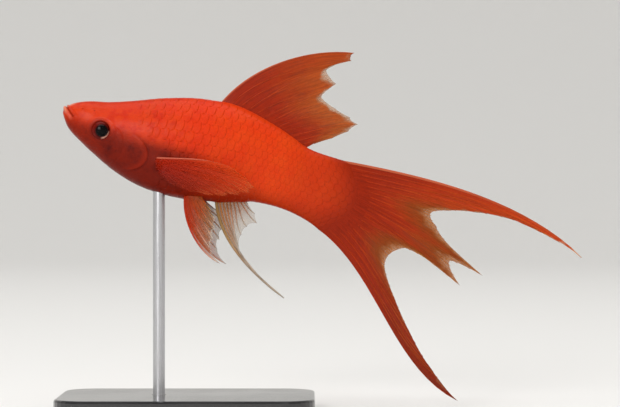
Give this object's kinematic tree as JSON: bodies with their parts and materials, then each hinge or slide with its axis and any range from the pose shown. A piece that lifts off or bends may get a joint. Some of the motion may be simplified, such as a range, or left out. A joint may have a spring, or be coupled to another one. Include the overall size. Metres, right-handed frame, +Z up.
{
  "type": "red lyretail swordtail fish model on a stand",
  "caption": "Still, life-size red lyretail swordtail, head tilted up, with long-lobed tail and swept fins, held over a flat base by a thin rod.",
  "frame": {"origin": "middle of the base's underside", "axes": "+X from the fish's snout to its tail, -Y its left side, +Z up"},
  "size_m": [0.131, 0.042, 0.0902],
  "materials": {
    "head_skin": "satin",
    "flank_skin": "satin",
    "eye": "gloss",
    "red_fin": "satin",
    "pale_fin": "satin",
    "base_black": "gloss",
    "rod_steel": "brushed"
  },
  "bodies": {
    "root": {"head": "head_skin", "torso": "flank_skin", "tail_peduncle": "flank_skin", "eye_left": "eye", "eye_right": "eye", "dorsal_fin": "red_fin", "caudal_fin": "red_fin", "anal_fin": "pale_fin", "pelvic_fin_left": "red_fin", "pelvic_fin_right": "red_fin", "pectoral_fin_left": "red_fin", "pectoral_fin_right": "red_fin", "stand_base": "base_black", "stand_rod": "rod_steel"}
  },
  "joints": []
}
